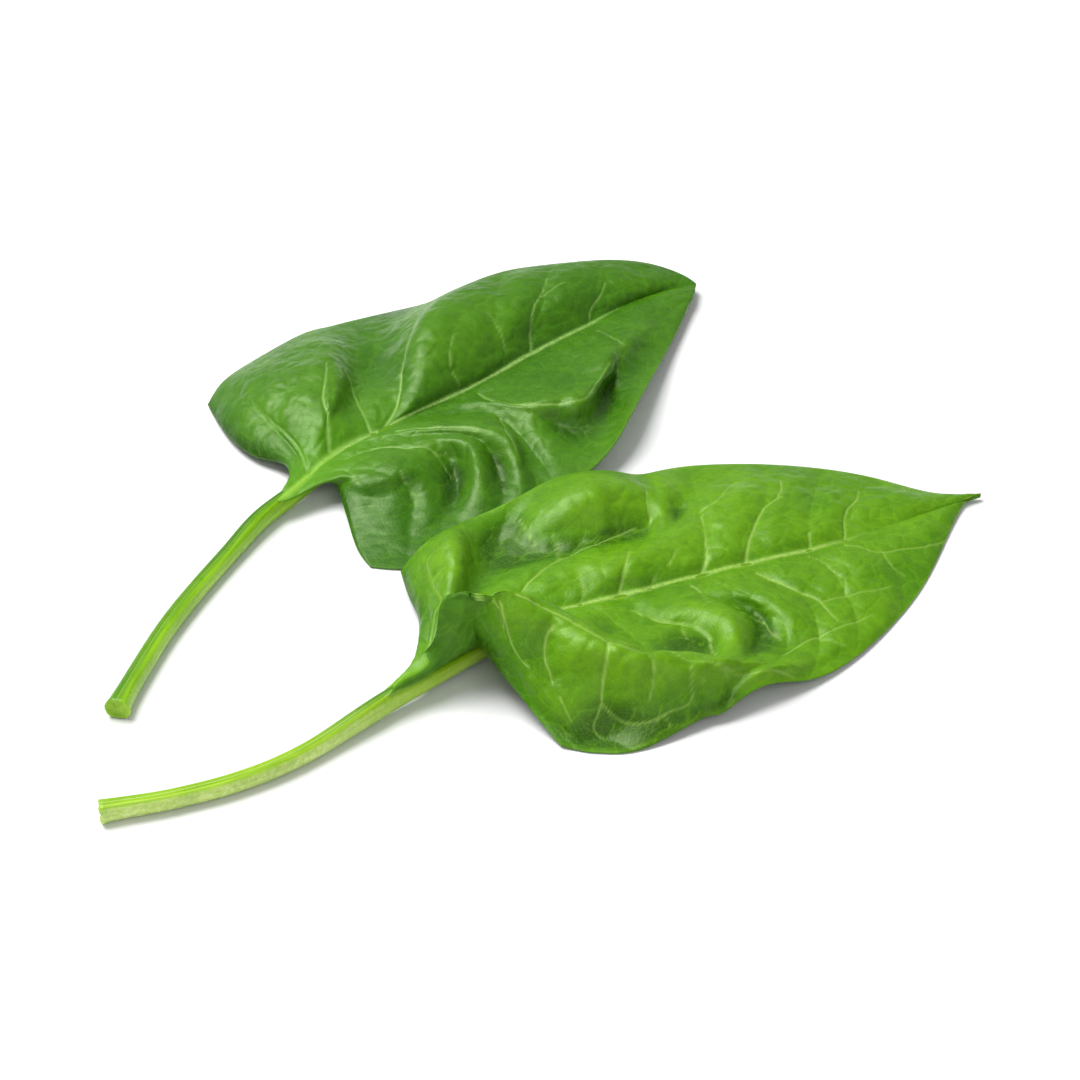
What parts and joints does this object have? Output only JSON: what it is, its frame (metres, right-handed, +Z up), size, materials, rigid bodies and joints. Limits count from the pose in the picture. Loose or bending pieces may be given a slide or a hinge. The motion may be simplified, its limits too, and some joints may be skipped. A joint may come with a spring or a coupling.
{
  "type": "spinach bunch",
  "caption": "Cut spinach leaves lying together on a surface: waved arrow-shaped blades with puffed ribs, one folded into a hood, on long pale stalks.",
  "frame": {"origin": "centre of the bounding box's bottom, on the surface that the leaves lie on", "axes": "+Z up from the surface, +X to the right in the picture, +Y away from the picture's camera; both leaves point towards +X and +Y"},
  "size_m": [0.2832, 0.328, 0.0325],
  "materials": {
    "front_blade": "satin",
    "front_stalk": "satin",
    "rear_blade": "satin",
    "rear_stalk": "satin"
  },
  "bodies": {
    "root": {"front_blade": "front_blade", "front_stalk": "front_stalk", "rear_blade": "rear_blade", "rear_stalk": "rear_stalk"}
  },
  "joints": []
}
